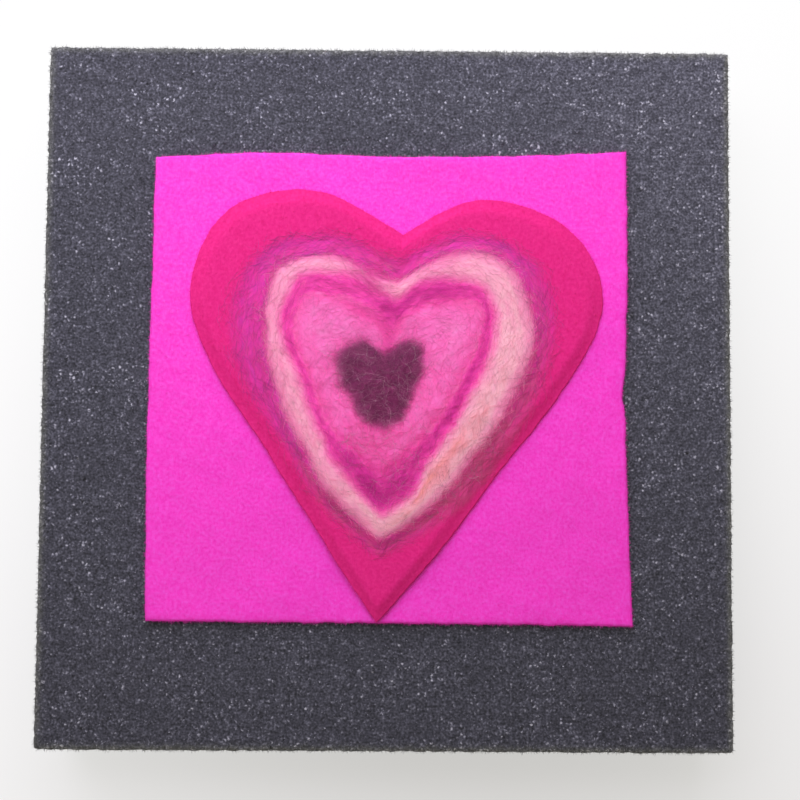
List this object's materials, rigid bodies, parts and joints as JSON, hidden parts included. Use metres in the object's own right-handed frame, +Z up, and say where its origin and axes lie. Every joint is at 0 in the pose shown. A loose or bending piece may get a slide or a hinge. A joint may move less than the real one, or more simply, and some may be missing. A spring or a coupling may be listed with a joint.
{
  "type": "needle felting mat",
  "caption": "Square open-cell foam mat for needle felting, carrying a felt square and a felt heart with needled wool bands; the felt work lifts off the foam.",
  "frame": {"origin": "middle of the foam's underside", "axes": "+Z up through the foam's thickness, +Y from the heart's tip to its cleft, +X to the right of someone facing the heart the right way up"},
  "size_m": [0.2, 0.204, 0.0367],
  "materials": {
    "foam": "charcoal open-cell polyurethane foam, cut cells",
    "backing_felt": "matted craft felt, magenta",
    "heart_felt": "matted craft felt, red",
    "violet_wool": "thin haze of needled wool, violet",
    "pale_pink_wool": "needled wool, pale salmon pink",
    "magenta_wool": "needled wool, deep magenta",
    "pink_wool": "needled wool, bright pink",
    "plum_wool": "needled wool, dark plum"
  },
  "bodies": {
    "mat": {"foam_pad": "foam"},
    "felt_work": {"felt_square": "backing_felt", "felt_heart": "heart_felt", "violet_wool_band": "violet_wool", "pale_pink_wool_band": "pale_pink_wool", "magenta_wool_band": "magenta_wool", "pink_wool_band": "pink_wool", "plum_wool_heart": "plum_wool"}
  },
  "joints": [
    {"name": "work_lift", "type": "slide", "parent": "mat", "child": "felt_work", "axis": [0, 0, 1], "range_m": [0, 0.08]}
  ]
}
